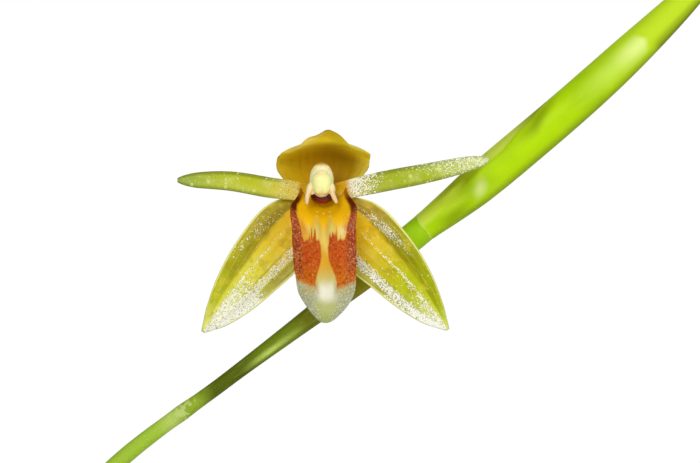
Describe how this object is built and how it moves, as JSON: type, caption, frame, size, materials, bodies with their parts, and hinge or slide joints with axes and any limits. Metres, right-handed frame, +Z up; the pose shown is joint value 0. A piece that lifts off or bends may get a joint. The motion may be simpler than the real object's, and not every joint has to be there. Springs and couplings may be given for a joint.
{
  "type": "potted coelogyne sulcata",
  "caption": "Small potted orchid: furrowed pseudobulbs, strap leaves and an arching scape with an open yellow-green flower and wrapped buds, in a plain clay pot.",
  "frame": {"origin": "centre of the pot's flat base, on the surface that it stands on", "axes": "+Z up; the flower faces -Y; the scape leans out towards +X"},
  "size_m": [0.141, 0.1384, 0.1576],
  "materials": {
    "clay": "unglazed terracotta, fine grained",
    "bark": "fir bark chips, dry, in browns",
    "rhizome": "brown-green, ringed",
    "root": "silvery white, dull",
    "bulb": "green, smooth, furrowed",
    "old_bulb": "yellowish green, furrowed",
    "dry_sheath": "papery, straw brown",
    "green_sheath": "pale green with lengthwise veins",
    "leaf": "deep green, waxy, lengthwise veins",
    "young_leaf": "fresh green, waxy",
    "scape": "green, darker olive where it is shaded, smooth",
    "bract": "bright yellow-green, satin, lengthwise veins",
    "sepal": "yellow-green with a gold middle, glistening",
    "hood": "golden brown inside, ochre rim",
    "petal": "pale yellow-green, glistening",
    "lip": "golden base, red-orange grainy sides, pale middle and tip",
    "column": "cream",
    "anther": "pale yellow, smooth"
  },
  "bodies": {
    "root": {"pot": "clay", "potting_bark": "bark", "rhizome": "rhizome", "root_1": "root", "root_2": "root", "root_3": "root", "root_4": "root", "pseudobulb_1": "old_bulb", "pseudobulb_2": "old_bulb", "pseudobulb_3": "bulb", "pseudobulb_4": "bulb", "pseudobulb_5": "bulb", "dry_sheath_1": "dry_sheath", "dry_sheath_2": "dry_sheath", "dry_sheath_3": "dry_sheath", "dry_sheath_4": "dry_sheath", "shoot_sheath_inner": "green_sheath", "shoot_sheath_outer": "green_sheath", "leaf_1": "leaf", "leaf_2": "leaf", "leaf_3": "leaf", "leaf_4": "leaf", "leaf_5": "leaf", "leaf_6": "leaf", "leaf_7": "leaf", "leaf_8": "young_leaf", "leaf_9": "young_leaf", "scape": "scape", "bud_bracts": "bract", "ovary": "scape", "dorsal_sepal": "hood", "lateral_sepal_left": "sepal", "lateral_sepal_right": "sepal", "petal_left": "petal", "petal_right": "petal", "lip": "lip", "column": "column", "anther": "anther"}
  },
  "joints": []
}
